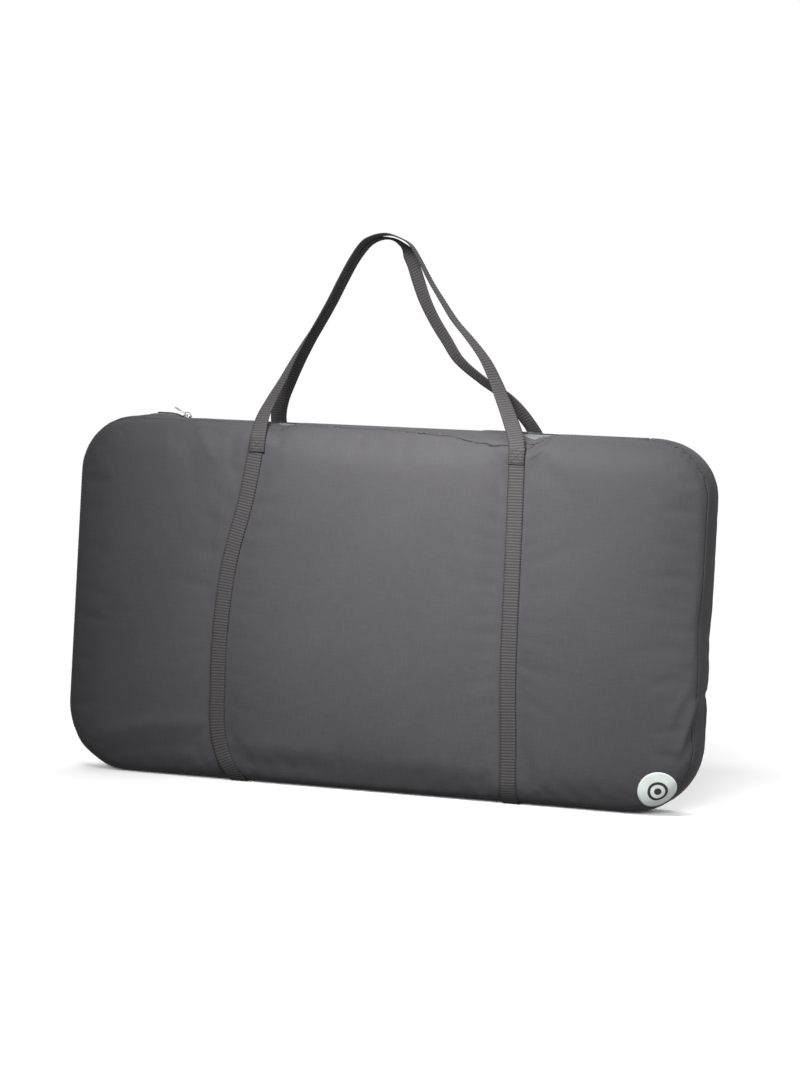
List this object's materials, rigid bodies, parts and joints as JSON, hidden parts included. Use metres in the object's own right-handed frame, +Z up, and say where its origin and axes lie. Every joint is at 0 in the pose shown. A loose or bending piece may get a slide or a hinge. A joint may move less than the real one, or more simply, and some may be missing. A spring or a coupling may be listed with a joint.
{
  "type": "playpen packed in its carry bag",
  "caption": "Flat-folded baby playpen zipped inside a charcoal cloth carry bag that stands on its long edge, with webbing straps and carry handles raised.",
  "frame": {"origin": "on the floor, under the middle of the standing bag", "axes": "+X along the bag's long side, towards the round patch; +Y from the front face to the back face; +Z up, towards the handles"},
  "size_m": [1, 0.1408, 0.8536],
  "materials": {
    "cloth": "matt charcoal polyester plain weave",
    "binding": "black polyester tape",
    "zip_tape": "woven polyester",
    "zip_coil": "nylon coil",
    "zip_metal": "nickel plated",
    "webbing": "ribbed polypropylene webbing",
    "thread": "polyester thread",
    "patch": "soft moulded patch",
    "frame_tube": "grey powder coat",
    "joiner": "bare tube plug",
    "moulding": "glass-filled nylon",
    "pin_steel": "zinc plated",
    "mattress_cloth": "quilted polyester",
    "board": "hardboard",
    "mesh": "polyester mesh",
    "sheet": "woven polyester",
    "foot_rubber": "matt"
  },
  "bodies": {
    "packed_bag": {"back_handle_end_left": "webbing", "back_handle_end_right": "webbing", "back_panel": "cloth", "back_seam_binding": "binding", "base_fork_left_lower": "moulding", "base_fork_left_upper": "moulding", "base_fork_right_lower": "moulding", "base_fork_right_upper": "moulding", "base_frame_joiners": "joiner", "base_frame_left": "frame_tube", "base_frame_right": "frame_tube", "box_stitching": "thread", "floor_sheet": "sheet", "frame_feet": "foot_rubber", "front_handle_end_left": "webbing", "front_handle_end_right": "webbing", "front_panel": "cloth", "front_seam_binding": "binding", "knee_lock_left_lower": "moulding", "knee_lock_left_upper": "moulding", "knee_lock_right_lower": "moulding", "knee_lock_right_upper": "moulding", "mattress": "mattress_cloth", "mattress_board": "board", "mesh_walls_folded": "mesh", "post_base_half_left_lower": "frame_tube", "post_base_half_left_upper": "frame_tube", "post_base_half_right_lower": "frame_tube", "post_base_half_right_upper": "frame_tube", "post_hinge_pins": "pin_steel", "post_rail_half_left_lower": "frame_tube", "post_rail_half_left_upper": "frame_tube", "post_rail_half_right_lower": "frame_tube", "post_rail_half_right_upper": "frame_tube", "rail_fork_left_lower": "moulding", "rail_fork_left_upper": "moulding", "rail_fork_right_lower": "moulding", "rail_fork_right_upper": "moulding", "round_patch": "patch", "side_and_base_gusset": "cloth", "strap_left": "webbing", "strap_right": "webbing", "top_rail_joiners": "joiner", "top_rail_left": "frame_tube", "top_rail_right": "frame_tube", "top_strip_back": "cloth", "top_strip_front": "cloth", "zip_coil_back": "zip_coil", "zip_coil_front": "zip_coil", "zip_end_stops": "zip_metal", "zip_tape_back": "zip_tape", "zip_tape_front": "zip_tape"},
    "front_carry_handle": {"front_handle": "webbing"},
    "back_carry_handle": {"back_handle": "webbing"},
    "slider": {"zip_slider": "zip_metal"},
    "pull": {"zip_pull_tab": "zip_metal"}
  },
  "joints": [
    {"name": "front_handle_fall", "type": "hinge", "parent": "packed_bag", "child": "front_carry_handle", "pos_m": [0, -0.0686, 0.53015], "axis": [1, 0, 0], "range_deg": [0, 160]},
    {"name": "back_handle_fall", "type": "hinge", "parent": "packed_bag", "child": "back_carry_handle", "pos_m": [0, 0.0686, 0.53015], "axis": [-1, 0, 0], "range_deg": [0, 160]},
    {"name": "zip_slide", "type": "slide", "parent": "packed_bag", "child": "slider", "axis": [1, 0, 0], "range_m": [-0.043, 0.723]},
    {"name": "pull_swing", "type": "hinge", "parent": "slider", "child": "pull", "pos_m": [-0.34, 0, 0.5611], "axis": [0, 1, 0], "range_deg": [-27, 120]}
  ]
}
